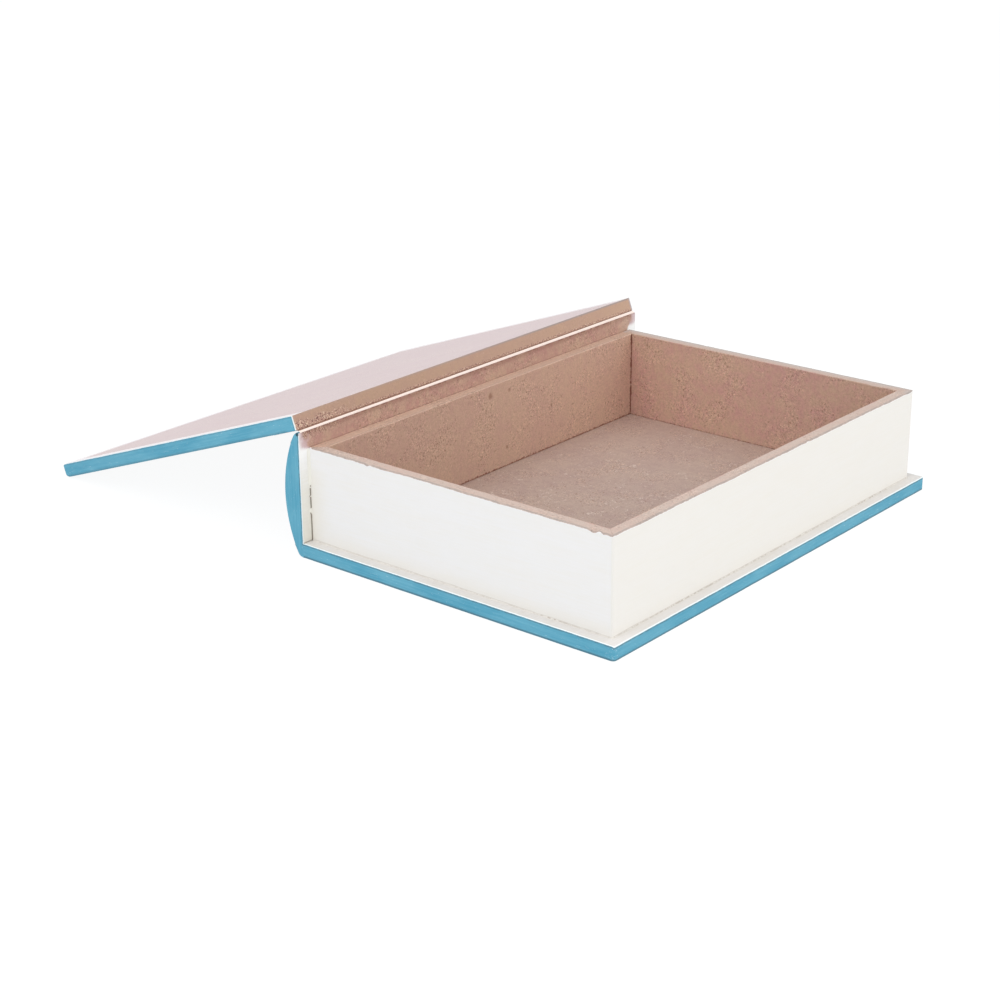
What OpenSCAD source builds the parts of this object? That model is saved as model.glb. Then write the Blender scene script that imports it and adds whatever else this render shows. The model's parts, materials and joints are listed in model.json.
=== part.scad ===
// Book box: a keepsake box in the shape of a closed book, standing with its front cover open.
// Two cover boards, a rounded spine moulding and a mitred tray of four walls, all of fibreboard.
// A strip of cloth on the outside joins the front cover to the spine and is the only hinge.
// The origin is the middle of the back cover's underside. +X points from the spine to the
// fore-edge, +Y from the tail of the book to its head, and +Z up.

/* [Covers] */
// Length of both cover boards, from tail to head
cover_l = 220; // [160:1:300]
// Width of the back cover, from the spine to the fore-edge
cover_w = 153; // [120:1:220]
// How much wider the front cover is than the back cover
front_extra = 2; // [0:0.5:4]
// Thickness of both cover boards
board_t = 6; // [4:0.5:9]
// Radius of the rounded arris round each cover's outer face
arris_r = 0.6; // [0.5:0.1:2.5]
// Radius of the fore-edge corners of the covers, seen from above
corner_r = 1.5; // [0.5:0.1:4]

/* [Tray] */
// Height of the tray walls above the back cover
wall_h = 39; // [25:1:55]
// Thickness of the tray walls
wall_t = 5.2; // [3:0.1:8]
// Margin of the back cover outside the tray, at tail and head
end_margin = 5.1; // [2:0.1:12]
// Margin of the back cover outside the tray, at the fore-edge
fore_margin = 4.9; // [2:0.1:12]
// Open glue line between the tray and the flat face of the spine
glue_line = 0.3; // [0.1:0.05:0.6]

/* [Spine] */
// Depth of the spine moulding, from its flat face to the top of its round
spine_d = 9; // [6:0.5:14]
// Width of the flat land that the round leaves at the spine's two long edges
spine_land = 2; // [1:0.1:3]
// Radius of the sanded arris between each land and the round
land_r = 2; // [1:0.1:2.5]
// How far the spine stands above the closed front cover
spine_rise = 0.7; // [0.4:0.1:2]

/* [Hinge] */
// Thickness of the hinge cloth with its glue
cloth_t = 0.3; // [0.2:0.05:0.4]
// Width of the cloth that is glued on the front cover
cloth_cover_w = 14; // [8:1:40]
// How far the cloth reaches down from the top of the spine
cloth_spine_w = 14; // [8:1:20]
// How far the ends of the cloth lie inside the ends of the covers
cloth_inset = 1; // [0.5:0.5:5]
// Gap between the closed front cover and the flat face of the spine
hinge_gap = 0.8; // [0.6:0.1:1.5]
// Air between the rim of the tray and the closed front cover
lid_air = 0.2; // [0.1:0.05:0.5]

/* [Hidden] */
$fn = 96;
paint = [0.36, 0.66, 0.78];
cream = [0.93, 0.92, 0.90];
bare_board = [0.74, 0.60, 0.51];
cloth_white = [0.96, 0.95, 0.92];
// Overlap of cutting shapes beyond what they cut
over = 1;

// Flat face of the spine, which the back cover and the hinge start from
spine_x = -cover_w / 2;
fore_x = cover_w / 2;
// Outer rectangle of the tray
tray_x0 = spine_x + glue_line;
tray_x1 = fore_x - fore_margin;
tray_w = tray_x1 - tray_x0;
tray_xc = (tray_x0 + tray_x1) / 2;
tray_l = cover_l - 2 * end_margin;
rim_z = board_t + wall_h;

// The closed front cover: its inner face, its outer face and its spine-side edge
lid_in_z = rim_z + lid_air;
lid_out_z = lid_in_z + board_t;
lid_x = spine_x + hinge_gap;
front_w = cover_w + front_extra;

// The spine's section: an arc that meets both lands, and a sanded arris inside it
spine_h = lid_out_z + spine_rise;
spine_half = spine_h / 2;
sagitta = spine_d - spine_land;
round_r = (spine_half * spine_half + sagitta * sagitta) / (2 * sagitta);
round_x = spine_x - spine_d + round_r;
arris_x = round_x - sqrt(pow(round_r - land_r, 2) - pow(spine_half - land_r, 2));
// Share of the way from the arc's centre to the arris' centre at which the two arcs touch
touch = round_r / (round_r - land_r);
touch_up = touch * (spine_half - land_r);

// The fold: over the flat face of the spine, level with the cloth that lies on its top
fold_x = spine_x - cloth_t / 2;
fold_z = spine_h + cloth_t;
// Centre of the rounded fore-edge arris of the closed cover, seen from the fold
swing_x = lid_x + front_w - arris_r - fold_x;
swing_z = lid_out_z - arris_r - fold_z;
swing = sqrt(swing_x * swing_x + swing_z * swing_z);
// The cover falls open until that arris rests on the table, at z = 0
open_angle = 180 + asin((fold_z - arris_r) / swing) - atan2(swing_z, swing_x);

// Printed for reference: the hinge line, its angle and the two heights that follow from the sizes
echo(open_angle = open_angle, fold = [fold_x, fold_z], spine_h = spine_h, rim_z = rim_z);

// Extrudes a section drawn in X and Z along Y, centred on y = 0
module along_y(length) {
    rotate([90, 0, 0]) linear_extrude(length, center = true) children();
}

// One cover board of a given width, outer face down on z = 0, spine-side edge on x = 0,
// centred on y = 0. The outer face has a rounded arris on its three free edges.
module cover_board(width) {
    intersection() {
        linear_extrude(board_t) {
            translate([0, -cover_l / 2]) square([width - corner_r, cover_l]);
            translate([0, corner_r - cover_l / 2]) square([width, cover_l - 2 * corner_r]);
            for (side = [-1, 1]) {
                translate([width - corner_r, side * (cover_l / 2 - corner_r)]) circle(corner_r);
            }
        }
        along_y(cover_l) {
            translate([0, arris_r]) square([width, board_t - arris_r]);
            square([width - arris_r, board_t]);
            translate([width - arris_r, arris_r]) circle(arris_r);
        }
        rotate([90, 0, 90]) linear_extrude(width) {
            translate([-cover_l / 2, arris_r]) square([cover_l, board_t - arris_r]);
            translate([arris_r - cover_l / 2, 0]) square([cover_l - 2 * arris_r, board_t]);
            for (side = [-1, 1]) {
                translate([side * (cover_l / 2 - arris_r), arris_r]) circle(arris_r);
            }
        }
    }
}

// Section of the spine in X and Z. grow is the thickness of what is wrapped round the
// outside of it, and inward is how far the section runs past the flat face.
module spine_section(grow, inward) {
    reach = touch_up * (1 + grow / round_r);
    intersection() {
        union() {
            intersection() {
                translate([round_x, spine_half]) circle(round_r + grow, $fn = 360);
                translate([spine_x - spine_d - over, spine_half - reach])
                    square([spine_d + over, 2 * reach]);
            }
            translate([arris_x, -grow]) square([spine_x - arris_x + inward, spine_h + 2 * grow]);
            for (z = [land_r, spine_h - land_r]) {
                translate([arris_x, z]) circle(land_r + grow);
            }
        }
        translate([spine_x - spine_d - over, -over])
            square([spine_d + over + inward, spine_h + 2 * over]);
    }
}

// One tray wall, outer face on y = 0 and mitred at both ends, centred on x = 0
module mitred_wall(length) {
    linear_extrude(wall_h) {
        polygon([
            [-length / 2, 0],
            [length / 2, 0],
            [length / 2 - wall_t, wall_t],
            [wall_t - length / 2, wall_t]
        ]);
    }
}

// Turns a piece of the closed front cover about the fold, to where it rests open
module opened() {
    translate([fold_x, 0, fold_z]) rotate([0, -open_angle, 0]) translate([-fold_x, 0, -fold_z]) children();
}

module back_cover() {
    color(paint) translate([spine_x, 0, 0]) cover_board(cover_w);
}

module spine() {
    color(paint) along_y(cover_l) spine_section(0, 0);
}

module tail_wall() {
    color(cream) translate([tray_xc, -tray_l / 2, board_t]) mitred_wall(tray_w);
}

module head_wall() {
    color(cream) translate([tray_xc, tray_l / 2, board_t]) rotate(180) mitred_wall(tray_w);
}

module fore_edge_wall() {
    color(cream) translate([tray_x1, 0, board_t]) rotate(90) mitred_wall(tray_l);
}

module spine_wall() {
    color(bare_board) translate([tray_x0, 0, board_t]) rotate(-90) mitred_wall(tray_l);
}

module front_cover() {
    color(paint) opened() translate([lid_x, 0, lid_out_z]) mirror([0, 0, 1]) cover_board(front_w);
}

// The half of the hinge cloth that is glued over the top of the spine and down its round
module hinge_cloth_spine() {
    color(cloth_white) along_y(cover_l - 2 * cloth_inset) {
        intersection() {
            difference() {
                spine_section(cloth_t, 0);
                spine_section(0, over);
            }
            translate([spine_x - spine_d - over, spine_h + cloth_t - cloth_spine_w])
                square([spine_d + over, cloth_spine_w]);
        }
    }
}

// The half of the hinge cloth that is glued on the outer face of the front cover
module hinge_cloth_cover() {
    color(cloth_white) opened() translate([lid_x, cloth_inset - cover_l / 2, lid_out_z])
        cube([cloth_cover_w, cover_l - 2 * cloth_inset, cloth_t]);
}

back_cover();
spine();
tail_wall();
head_wall();
fore_edge_wall();
spine_wall();
front_cover();
hinge_cloth_spine();
hinge_cloth_cover();
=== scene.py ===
# %% [markdown]
# Book box
#
# This lesson dresses a keepsake box in the shape of a closed book. The construction arrives as a fixed
# frame of exact solids. Everything below gives those solids what a hand-made box has: sanded arrises,
# brushed paint that laps over the edges, bare fibreboard, beads of paint in the corners and a strip of
# cloth for a hinge. Lengths are in millimetres until a mesh is made, and every piece keeps the place
# that the frame gives it.

# %% Load the frame
import json
import math

import bmesh
import bpy
import numpy as np
from mathutils import Matrix, Vector


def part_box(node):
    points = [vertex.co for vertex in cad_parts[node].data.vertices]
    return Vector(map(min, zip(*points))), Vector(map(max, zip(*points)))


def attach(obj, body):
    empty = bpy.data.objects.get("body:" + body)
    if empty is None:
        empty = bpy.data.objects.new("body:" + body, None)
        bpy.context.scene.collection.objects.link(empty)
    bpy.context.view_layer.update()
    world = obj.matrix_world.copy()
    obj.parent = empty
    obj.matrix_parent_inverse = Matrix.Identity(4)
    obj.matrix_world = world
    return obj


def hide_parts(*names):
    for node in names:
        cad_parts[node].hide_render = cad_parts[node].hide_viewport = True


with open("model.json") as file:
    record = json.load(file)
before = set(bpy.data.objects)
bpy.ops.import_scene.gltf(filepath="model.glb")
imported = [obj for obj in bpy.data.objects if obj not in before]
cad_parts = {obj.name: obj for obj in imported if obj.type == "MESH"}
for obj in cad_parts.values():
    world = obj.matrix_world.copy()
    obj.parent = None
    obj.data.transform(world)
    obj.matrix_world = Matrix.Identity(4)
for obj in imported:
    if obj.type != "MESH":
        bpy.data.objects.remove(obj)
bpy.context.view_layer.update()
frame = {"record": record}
MM = 0.001

# %% [markdown]
# Sizes from the frame
#
# A dressed piece has to stand exactly where its solid stands, so the sizes are read from the solids'
# boxes. Only what a box can't tell, such as the radius of an arris, is written down again.


# %% Read the sizes
def corners(node_name):
    """Lowest and highest corner of a node, in millimetres."""
    low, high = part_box(node_name)
    return np.array(low) / MM, np.array(high) / MM


back_low, back_high = corners("back_cover")
spine_low, spine_high = corners("spine")
tail_low, tail_high = corners("tail_wall")
head_low, head_high = corners("head_wall")
COVER_L = back_high[1] - back_low[1]
COVER_W = back_high[0] - back_low[0]
BOARD_T = back_high[2] - back_low[2]
SPINE_X = spine_high[0]
SPINE_D = spine_high[0] - spine_low[0]
SPINE_H = spine_high[2]
RIM_Z = tail_high[2]
WALL_T = tail_high[1] - tail_low[1]
TRAY_X = (tail_low[0], tail_high[0])
TRAY_Y = (tail_low[1], head_high[1])
ARRIS_R = 0.6
SPINE_LAND = 2.0
LAND_R = 2.0
FRONT_EXTRA = 2.0
HINGE_GAP = 0.8
LID_AIR = 0.2
FRONT_W = COVER_W + FRONT_EXTRA
LID_X = SPINE_X + HINGE_GAP
LID_IN_Z = RIM_Z + LID_AIR
LID_OUT_Z = LID_IN_Z + BOARD_T
print("covers %.1f x %.1f x %.1f mm, spine %.1f mm high" % (COVER_L, COVER_W, BOARD_T, SPINE_H))

# %% [markdown]
# How far the lid is open
#
# The lid falls back over the spine until the eased arris of its fore-edge rests on the table. The
# angle follows from the fold line, which the record gives, and from the sizes of the lid: the centre of
# that arris swings on a circle about the fold, and stops one arris radius above the table.

# %% Work out the open lid
hinge = frame["record"]["behaviour"]["joints"][0]
FOLD = np.array(hinge["pos_m"]) / MM
swing_x = LID_X + FRONT_W - ARRIS_R - FOLD[0]
swing_z = LID_OUT_Z - ARRIS_R - FOLD[2]
swing = math.hypot(swing_x, swing_z)
OPEN_ANGLE = math.pi + math.asin((FOLD[2] - ARRIS_R) / swing) - math.atan2(swing_z, swing_x)


def opened(points):
    """Turns points of the closed lid about the fold, to where the lid lies open."""
    cosine, sine = math.cos(OPEN_ANGLE), math.sin(OPEN_ANGLE)
    away = points - FOLD
    turned = np.empty_like(away)
    turned[..., 0] = away[..., 0] * cosine - away[..., 2] * sine
    turned[..., 1] = away[..., 1]
    turned[..., 2] = away[..., 0] * sine + away[..., 2] * cosine
    return turned + FOLD


print("the lid is open by %.2f degrees" % math.degrees(OPEN_ANGLE))

# %% [markdown]
# The camera
#
# The photograph was taken from the tail's fore-edge corner, a little above the box. Its direction, its
# distance and its focal length were found by fitting the edges of the model to the edges that the
# photograph shows. An orbit about one target, with a roll and a sideways offset, says all of it.

# %% Place the camera
LENS_MM, SENSOR_MM = 73.417, 36.0
AZIMUTH, ELEVATION, ROLL = math.radians(39.969), math.radians(20.951), math.radians(-0.493)
TARGET = np.array([2.5, 0.0, 24.0])
DISTANCE, ASIDE, ABOVE = 829.402, 53.351, 12.627

back = np.array([
    math.sin(AZIMUTH) * math.cos(ELEVATION),
    -math.cos(AZIMUTH) * math.cos(ELEVATION),
    math.sin(ELEVATION),
])
level = np.cross(-back, [0.0, 0.0, 1.0])
level /= np.linalg.norm(level)
upright = np.cross(level, -back)
right = math.cos(ROLL) * level + math.sin(ROLL) * upright
up = math.cos(ROLL) * upright - math.sin(ROLL) * level
eye = (TARGET + back * DISTANCE - right * ASIDE - up * ABOVE) * MM

camera = bpy.data.objects.new("camera", bpy.data.cameras.new("camera"))
bpy.context.scene.collection.objects.link(camera)
camera.data.lens = LENS_MM
camera.data.sensor_width = SENSOR_MM
camera.data.clip_start = 0.01
turn = Matrix((right, up, back)).transposed().to_4x4()
camera.matrix_world = Matrix.Translation(Vector(eye)) @ turn
bpy.context.scene.camera = camera
bpy.context.scene.view_settings.view_transform = "Standard"

# %% [markdown]
# Writing shader nodes
#
# A finish is a tree of small nodes. Here the output of a node is a wire, and wires add, subtract and
# multiply like the numbers that they carry, so a formula in a tree reads like a formula. Short
# helpers name the node types that come back often, and the last ones make, fill and place a reusable
# group with named inputs and outputs.


# %% Helpers for node trees
class Wire:
    """An output of a node. Sums and products of wires are Math nodes."""

    def __init__(self, socket):
        self.socket = socket
        self.tree = socket.id_data

    def __add__(self, other):
        return calc("ADD", self, other)

    def __sub__(self, other):
        return calc("SUBTRACT", self, other)

    def __rsub__(self, other):
        return calc("SUBTRACT", other, self)

    def __mul__(self, other):
        return calc("MULTIPLY", self, other)

    def __truediv__(self, other):
        return calc("DIVIDE", self, other)

    def __abs__(self):
        return calc("ABSOLUTE", self)

    def clamped(self):
        """The same wire, once its Math node keeps the result from 0 to 1."""
        self.socket.node.use_clamp = True
        return self


def add(tree, kind, inputs=None, **settings):
    """Adds one node. inputs maps a socket's name or number to a value or to a wire."""
    made = tree.nodes.new(kind)
    for key, value in settings.items():
        setattr(made, key, value)
    for key, value in (inputs or {}).items():
        if isinstance(value, Wire):
            tree.links.new(value.socket, made.inputs[key])
        else:
            made.inputs[key].default_value = value
    return made


def tree_of(inputs):
    """The tree that the first wire among some inputs belongs to."""
    return next(value.tree for value in inputs.values() if isinstance(value, Wire))


def wired(kind, inputs, output=0, **settings):
    """Adds one node to the tree that its inputs come from, and returns one output as a wire."""
    return Wire(add(tree_of(inputs), kind, inputs, **settings).outputs[output])


def calc(operation, first, second=0.0):
    """One Math node."""
    return wired("ShaderNodeMath", {0: first, 1: second}, operation=operation)


def larger(first, second):
    """The larger of two numbers."""
    return calc("MAXIMUM", first, second)


def blend(share, first, second):
    """Mixes two colours: first at share 0, second at share 1."""
    return wired("ShaderNodeMix", {0: share, 6: first, 7: second}, 2, data_type="RGBA")


def layered(colour, *layers):
    """A colour with others laid over it, one after the other. A layer is a share and a colour."""
    for share, over in layers:
        colour = blend(share, colour, over)
    return colour


def between(share, first, second):
    """Mixes two numbers: first at share 0, second at share 1."""
    return wired("ShaderNodeMix", {0: share, 2: first, 3: second})


def ramp(value, start, end, low=0.0, high=1.0):
    """Carries a value smoothly from low at start to high at end."""
    inputs = {"Value": value, "From Min": start, "From Max": end, "To Min": low, "To Max": high}
    return wired("ShaderNodeMapRange", inputs, interpolation_type="SMOOTHSTEP")


def stretch(vector, scale, move=(0.0, 0.0, 0.0)):
    """Scales and moves a coordinate with one Mapping node."""
    return wired("ShaderNodeMapping", {"Vector": vector, "Scale": scale, "Location": move})


def shifted(vector, *move):
    """Moves a coordinate, so that one noise gives two patterns that have nothing in common."""
    return stretch(vector, (1.0, 1.0, 1.0), move)


def shaded(colour, factor):
    """A colour or a coordinate times a factor."""
    return wired("ShaderNodeVectorMath", {0: colour, "Scale": factor}, operation="SCALE")


def distance(place, point):
    """How far a place is from one point."""
    return wired("ShaderNodeVectorMath", {0: place, 1: point}, "Value", operation="DISTANCE")


def split(place):
    """The X, Y and Z of a place."""
    outputs = add(place.tree, "ShaderNodeSeparateXYZ", {0: place}).outputs
    return [Wire(outputs[axis]) for axis in range(3)]


def noise(vector, scale, detail=2.0, roughness=0.5, distortion=0.0):
    """Soft noise from 0 to 1, with scale in features per unit of the coordinate."""
    inputs = {"Vector": vector, "Scale": scale, "Detail": detail, "Roughness": roughness,
              "Distortion": distortion}
    return wired("ShaderNodeTexNoise", inputs, "Fac")


VECTOR_SOCKETS = ("Place", "Surface")
COLOUR_SOCKETS = ("Colour", "Board", "Rosy", "Pale fibre", "Dark fibre", "Paint", "Thin paint")


def new_group(name, inputs, outputs):
    """An empty shader group: its output node, and a wire from each named input."""
    group = bpy.data.node_groups.new(name, "ShaderNodeTree")
    for side, names in (("INPUT", inputs), ("OUTPUT", outputs)):
        for socket_name in names:
            kind = "Vector" if socket_name in VECTOR_SOCKETS else "Float"
            kind = "Color" if socket_name in COLOUR_SOCKETS else kind
            group.interface.new_socket(socket_name, in_out=side, socket_type="NodeSocket" + kind)
    given = add(group, "NodeGroupInput").outputs
    return add(group, "NodeGroupOutput"), *[Wire(given[socket_name]) for socket_name in inputs]


def link_all(node, results):
    """Links wires to the named inputs of a node, and returns the tree."""
    for key, wire in results.items():
        wire.tree.links.new(wire.socket, node.inputs[key])
    return node.id_data


def use(group, *values):
    """Places a group with its inputs filled in order, and returns its outputs by name."""
    inputs = dict(enumerate(values))
    outputs = add(tree_of(inputs), "ShaderNodeGroup", inputs, node_tree=group).outputs
    return {socket.name: Wire(socket) for socket in outputs}


def linear(red, green, blue):
    """A colour as a picture editor gives it, 0 to 255, in the linear values that a shader wants."""
    srgb = np.array([red, green, blue]) / 255.0
    value = np.where(srgb <= 0.04045, srgb / 12.92, ((srgb + 0.055) / 1.055) ** 2.4)
    return (*[float(x) for x in value], 1.0)


# %% [markdown]
# Bare fibreboard
#
# Fibreboard is wood fibre pressed with glue. Seen close up it is a fine felt: soft clouds a finger
# wide, a mottle a few millimetres wide, and short dark and pale fibres that crowd in some places. A
# picture of it would repeat and has to be unwrapped, so noises at those scales are mixed instead. The
# group works on Object coordinates in millimetres, so the grain is the same size on every board.


# %% The fibreboard group
def build_fibreboard():
    result, place, board, rosy, pale_fibre, dark_fibre, grain, fibres = new_group(
        "Fibreboard",
        ["Place", "Board", "Rosy", "Pale fibre", "Dark fibre", "Grain", "Fibres"],
        ["Colour", "Roughness", "Height"],
    )
    clouds = noise(place, 0.045, 3.0, 0.55)
    mottle = noise(stretch(place, (1.0, 1.0, 0.8), (31.0, 7.0, 3.0)), 0.3, 3.0, 0.6)
    crowded = ramp(noise(shifted(place, 12.0, 55.0, 8.0), 0.07, 3.0), 0.4, 0.62)
    felt = noise(place, 1.3, 3.0, 0.8)
    dark = noise(stretch(place, (1.0, 1.0, 0.8), (5.0, 90.0, 11.0)), 1.5, 2.0, 0.5, 0.9)
    pale = noise(stretch(place, (1.0, 0.8, 1.0), (50.0, 0.0, 70.0)), 1.6, 2.0, 0.5, 1.1)
    redness = ramp(clouds, 0.4, 0.6, 0.0, 0.55) + ramp(mottle, 0.42, 0.62, 0.0, 0.6)
    ease = crowded * 0.09 + fibres * 0.12
    colour = layered(
        board,
        ((redness * 0.85).clamped(), rosy),
        (ramp(dark - 0.665 + ease, 0.0, 0.07, 0.0, 0.75), dark_fibre),
        (ramp(pale - 0.67 + ease, 0.0, 0.07, 0.0, 0.8), pale_fibre),
    )
    light = (felt - 0.5) * grain * (crowded * 0.8 + 0.6)
    return link_all(result, {
        "Colour": shaded(colour, light + 1.0),
        "Roughness": ramp(mottle, 0.3, 0.7, 0.5, 0.66),
        "Height": dark * -0.6 + felt * 0.7,
    })


FIBREBOARD = build_fibreboard()

# %% [markdown]
# Brushed paint
#
# The box is painted by hand with a soft brush. Two coats of acrylic leave streaks that run with the
# stroke: a little lighter or darker, a little glossier, and barely raised. The group takes the piece's
# own UV map, whose first direction follows the brush, and squeezes noise along it. A fourth output
# marks the few hairline scratches that handling leaves.


# %% The brushed paint group
def build_brushed_paint():
    result, surface, paint, thin_paint, streaks = new_group(
        "Brushed paint",
        ["Surface", "Paint", "Thin paint", "Streaks"],
        ["Colour", "Roughness", "Height", "Scratch"],
    )
    long_streaks = noise(stretch(surface, (0.04, 1.1, 1.0)), 1.0, 3.0, 0.6, 0.2)
    short_streaks = noise(stretch(surface, (0.16, 2.6, 1.0), (9.0, 4.0, 0.0)), 1.0, 2.0)
    patches = noise(stretch(surface, (0.05, 0.12, 1.0), (3.0, 8.0, 0.0)), 1.0, 2.0)
    hairs = noise(stretch(surface, (0.35, 2.4, 1.0), (70.0, 20.0, 0.0)), 1.0, 1.0, 0.5, 1.6)
    share = ramp(long_streaks, 0.35, 0.7) + ramp(short_streaks, 0.5, 0.8)
    share = share + ramp(patches, 0.38, 0.65, 0.0, 0.8)
    return link_all(result, {
        "Colour": blend((share * streaks).clamped(), paint, thin_paint),
        "Roughness": ramp(long_streaks, 0.3, 0.7, 0.5, 0.68),
        "Height": long_streaks + short_streaks * 0.5,
        "Scratch": ramp(hairs, 0.71, 0.75),
    })


BRUSHED_PAINT = build_brushed_paint()

# %% [markdown]
# Where one finish stops
#
# A painted edge is never a ruled line. The brush wanders by a few tenths of a millimetre, the paint
# piles up in a small ridge, and a fine dark line shows beside it where the coats don't meet. Each mesh
# carries an attribute called way, the distance in millimetres from such an edge, and this group turns
# it into three masks: what is beyond the edge, the ridge on the edge, and the line beside it.


# %% The paint edge group
def build_paint_edge():
    result, way, place, wandering, softness, ridge_width, line_at, line_width = new_group(
        "Paint edge",
        ["Way", "Place", "Wander", "Softness", "Ridge width", "Line at", "Line width"],
        ["Beyond", "Ridge", "Line"],
    )
    slow, quick = noise(place, 0.22, 2.0), noise(place, 1.4, 3.0, 0.6)
    past = way + ((slow - 0.5) + (quick - 0.5)) * wandering
    patchy = ramp(noise(place, 0.5, 3.0), 0.34, 0.56, 0.45, 1.0)
    line = ramp(abs(past - line_at) / line_width, 0.0, 1.0, 1.0, 0.0)
    return link_all(result, {
        "Beyond": ramp(past / softness, -0.5, 0.5),
        "Ridge": ramp(abs(past) / ridge_width, 0.0, 1.0, 1.0, 0.0),
        "Line": line * patchy,
    })


PAINT_EDGE = build_paint_edge()

# %% [markdown]
# The colours
#
# Each colour is written as it should look on the table. The light is kept plain, so a colour renders
# about as it is written here.

# %% Name the colours
BLUE = linear(76, 159, 188)
THIN_BLUE = linear(110, 180, 204)
DEEP_BLUE = linear(72, 114, 130)
SCUFFED_BLUE = linear(214, 232, 238)
CREAM = linear(241, 240, 240)
THIN_CREAM = linear(238, 233, 222)
CORNER_SHADE_CREAM = linear(228, 226, 222)
MARGIN_CREAM = linear(222, 219, 217)
THIN_MARGIN = linear(216, 212, 205)
SPINE_CREAM = linear(246, 245, 243)
THIN_SPINE_CREAM = linear(237, 234, 223)
ROSY_CREAM = linear(211, 188, 190)
RIDGE_AND_HIGHLIGHT_WHITE = linear(250, 250, 250)
LAP_RIDGE_HIGHLIGHT = linear(247, 254, 255)
LAP_SHADOW = linear(150, 144, 140)
BOARD = linear(199, 168, 147)
ROSY_BOARD = linear(195, 160, 145)
ROSY_WALL = linear(197, 166, 145)
DEEP_ROSY_WALL = linear(196, 154, 145)
PALE_FIBRE = linear(222, 194, 172)
DARK_FIBRE = linear(140, 104, 86)
EDGE_BOARD = linear(184, 150, 126)
ROSY_EDGE = linear(180, 144, 126)
LIT_EDGE = linear(214, 178, 152)
ROSY_FRAY = linear(190, 144, 134)
RED_FIBRE = linear(118, 78, 70)
YELLOW_FIBRE = linear(240, 216, 186)
GREY_LINE = linear(158, 148, 148)
SHADOW_BROWN = linear(124, 74, 60)
FLOOR_BOARD = linear(188, 165, 152)
ROSY_FLOOR = linear(181, 156, 147)
SCUFF = linear(216, 200, 190)
LID_BOARD = linear(189, 163, 151)
ROSY_LID = linear(185, 155, 147)
LILAC_SHEEN = (0.98, 0.84, 1.0, 1.0)
LID_CREAM = linear(248, 248, 249)
RIM = linear(199, 180, 168)
ROSY_RIM = linear(203, 177, 165)
DARK_RIM = linear(195, 163, 145)
ROSY_DARK_RIM = linear(201, 169, 148)
CLOTH_WHITE = linear(252, 235, 226)
WEB_SHADE_BROWN = linear(150, 112, 94)
CRACK = linear(172, 160, 149)
TIP_SHADOW_TEAL = linear(20, 62, 74)
ARRIS_GREY = linear(190, 182, 178)
STAIN = linear(150, 112, 92)
LILAC_LINE = linear(186, 172, 178)
ROSY_FACE = linear(190, 148, 138)
OPEN_JOINT = linear(154, 145, 134)
FOOT_CREAM = linear(226, 222, 215)
LIGHTENED_SPINE_BEAD_CREAM = linear(246, 244, 236)


# %% [markdown]
# Putting a finish together
#
# Every painted board mixes the same parts: blue, cream and bare board, with edges between them. The
# Principled shader itself stays in the material, with its plain numbers on its own sockets.


# %% Shared parts of the materials
RELIEF = 0.05


def empty_tree(owner):
    """The node tree of a new material or world, with nothing in it."""
    owner.use_nodes = True
    owner.node_tree.nodes.clear()
    return owner.node_tree


def start_material(name, *marks):
    """A new material, its Principled shader, and wires from its place, its surface and its marks.

    The place is the Object coordinate and the surface is the UV map, both in millimetres. A mark is
    a number that the mesh carries at each vertex.
    """
    material = bpy.data.materials.new(name)
    tree = empty_tree(material)
    shader = add(tree, "ShaderNodeBsdfPrincipled", {"IOR": 1.46, "Specular IOR Level": 0.5})
    add(tree, "ShaderNodeOutputMaterial", {"Surface": Wire(shader.outputs[0])})
    place = Wire(add(tree, "ShaderNodeTexCoord").outputs["Object"])
    surface = Wire(add(tree, "ShaderNodeUVMap", uv_map="Surface").outputs[0])
    scale = (1 / MM, 1 / MM, 1 / MM)
    wires = [Wire(add(tree, "ShaderNodeAttribute", attribute_name=mark).outputs["Fac"]) for mark in marks]
    return material, shader, stretch(place, scale), stretch(surface, scale), *wires


def finish_material(material, shader, colour, roughness, height, relief=RELIEF):
    """Links the last colour, roughness and height to the shader. relief is in millimetres."""
    bump = wired("ShaderNodeBump", {"Height": height, "Distance": relief * MM, "Strength": 1.0})
    link_all(shader, {"Base Color": colour, "Roughness": roughness, "Normal": bump})
    return material


def fibre(place, board, rosy, grain=1.1, fibres=0.0):
    """The fibreboard group with one board's colours."""
    return use(FIBREBOARD, place, board, rosy, PALE_FIBRE, DARK_FIBRE, grain, fibres)


def edge_of(way, place, wander, softness=0.12, ridge=0.35, line_at=-0.55, line=0.4):
    """The paint edge group round one edge."""
    return use(PAINT_EDGE, way, place, wander, softness, ridge, line_at, line)


# %% [markdown]
# Worn blue, and torn fibre
#
# Two effects come back on both the covers and the spine. Handling scratches the blue and knocks pale
# specks out of it near the corners, where the mark worn is near 1. And where the hinge was cut open,
# fibres stand out of the board as fine specks of dark red and pale yellow.


# %% The worn blue and torn fibre groups
def build_worn_blue():
    result, place, surface, worn = new_group(
        "Worn blue", ["Place", "Surface", "Worn"], ["Colour", "Roughness", "Height"]
    )
    blue = use(BRUSHED_PAINT, surface, BLUE, THIN_BLUE, 0.5)
    specks = noise(place, 1.5, 3.0, 0.65) - (0.8 - worn * 0.28)
    specks = ramp(specks, 0.0, 0.06, 0.0, 0.85)
    colour = layered(blue["Colour"], (blue["Scratch"] * 0.45, SCUFFED_BLUE), (specks, SCUFFED_BLUE))
    return link_all(result, {"Colour": colour, "Roughness": blue["Roughness"], "Height": blue["Height"]})


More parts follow.
